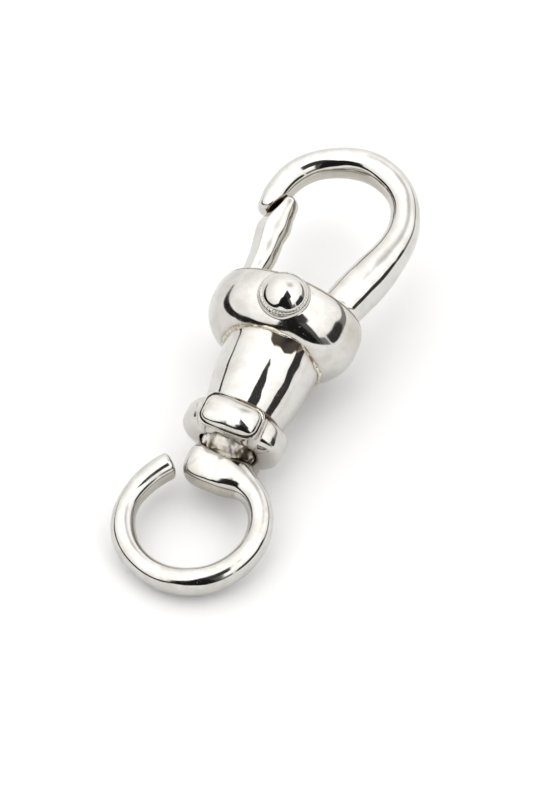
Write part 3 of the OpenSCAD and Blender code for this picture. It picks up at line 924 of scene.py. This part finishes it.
def overhead_arm(right, away, up):
    """Arm over the top, widest at its +x, -y end; lengths are on a plane at height 1."""
    start_x, start_y, end_x, end_y = 0.30, -0.30, 0.10, 0.09
    x, y = right / up.at_least(0.05), away / up.at_least(0.05)
    run_x, run_y = end_x - start_x, end_y - start_y
    t = (((x - start_x) * run_x + (y - start_y) * run_y)
         / (run_x * run_x + run_y * run_y)).at_least(0).at_most(1)
    gap = ((x - start_x - t * run_x) ** 2 + (y - start_y - t * run_y) ** 2) ** 0.5
    return (1 - gap.past(0.30 - t * 0.275, 0.012)) * up.step(0.3, 0.4)


def grey_panel(azimuth, rise):
    """Soft panel on the +y side."""
    across = abs((azimuth - 84) / 30)
    up = abs((rise - 58) / 18)
    return 1 - ((across ** 2 + up ** 2) ** 0.5).step(0.1, 1.25)


def low_strip(turn, rise):
    """Low strip from the window round towards +y."""
    high = turn.ramp([(195, 30), (215, 24), (240, 19), (262, 15)])
    return (rise.step(9.0, 11.0) * (1 - rise.step(high - 2.0, high)) * turn.step(196.0, 200.0)
            * (1 - turn.step(245.0, 262.0)))


def studio():
    world = bpy.data.worlds.new("studio")
    bpy.context.scene.world = world
    world.use_nodes = True
    tree = world.node_tree
    tree.nodes.clear()
    direction = output_of(tree, "ShaderNodeTexCoord", "Generated")
    right_axis = Vector((1, 0, 0))
    right = along(direction, right_axis)
    away = along(direction, UP.cross(right_axis))
    up = along(direction, UP)
    degrees = 180 / math.pi
    rise = up.op("ARCSINE") * degrees
    azimuth = away.op("ARCTAN2", right) * degrees
    # turn runs from -40 to 320, so that nothing wraps inside a dark patch
    turn = (azimuth + 540).op("MODULO", 360)
    turn = turn - turn.op("GREATER_THAN", 320.0) * 360

    block, fringe, skirt = opening(turn, rise)
    band = low_band(turn, rise)
    mottle = noise(direction, scale=9.0, detail=4, rough=0.6)
    patch = window(turn, rise)
    arm = overhead_arm(right, away, up)
    panel = grey_panel(azimuth, rise)
    tent = rise.ramp([(0, 1.2), (14, 1.24), (28, 1.4), (50, 1.72), (70, 1.95), (90, 2.0)])
    strip = low_strip(turn, rise)
    # each factor is how much of the tent's light the patch takes away
    dark = ((block * 0.99).at_least(band * 0.98).at_least(patch * (mottle * 0.06 + 0.93))
            .at_least(arm * 0.97).at_least(fringe * 0.92).at_least(skirt * 0.80)
            .at_least(panel * 0.5).at_least(strip * 0.75))
    glow = tent * (1 - dark)
    # the camera itself sees plain pale paper above the floor
    seen = output_of(tree, "ShaderNodeLightPath", "Is Camera Ray")
    light = glow * (1 - seen) + seen * 0.97
    background = output_of(tree, "ShaderNodeBackground", Strength=light,
                           Color=(1.0, 0.996, 0.988, 1))
    node(tree, "ShaderNodeOutputWorld", Surface=background)


studio()

# ---------------------------------------------------------------- camera
AZIMUTH, ELEVATION, DISTANCE = math.radians(23.1), math.radians(60.0), 0.400
AIM_RIGHT, AIM_UP = -0.0063, -0.0246    # slopes of the aim off the line to the target
TARGET = Vector(ORIGIN) + Vector((0, 0.001, 0))

back = Vector((math.sin(AZIMUTH) * math.cos(ELEVATION), -math.cos(AZIMUTH) * math.cos(ELEVATION),
               math.sin(ELEVATION)))
right = Vector((math.cos(AZIMUTH), math.sin(AZIMUTH), 0))
up = back.cross(right)
eye = TARGET + back * DISTANCE
ahead = (-back + right * AIM_RIGHT + up * AIM_UP).normalized()
side = ahead.cross(up).normalized()
top = side.cross(ahead)
camera = bpy.data.objects.new("camera", bpy.data.cameras.new("camera"))
bpy.context.scene.collection.objects.link(camera)
camera.matrix_world = Matrix(
    [(side[i], top[i], -ahead[i], eye[i]) for i in range(3)] + [(0, 0, 0, 1)])
camera.data.sensor_width = 36
camera.data.lens = 150
camera.data.clip_start, camera.data.clip_end = 0.01, 10
bpy.context.scene.camera = camera

bpy.context.scene.view_settings.view_transform = "Standard"
bpy.context.scene.view_settings.look = "None"
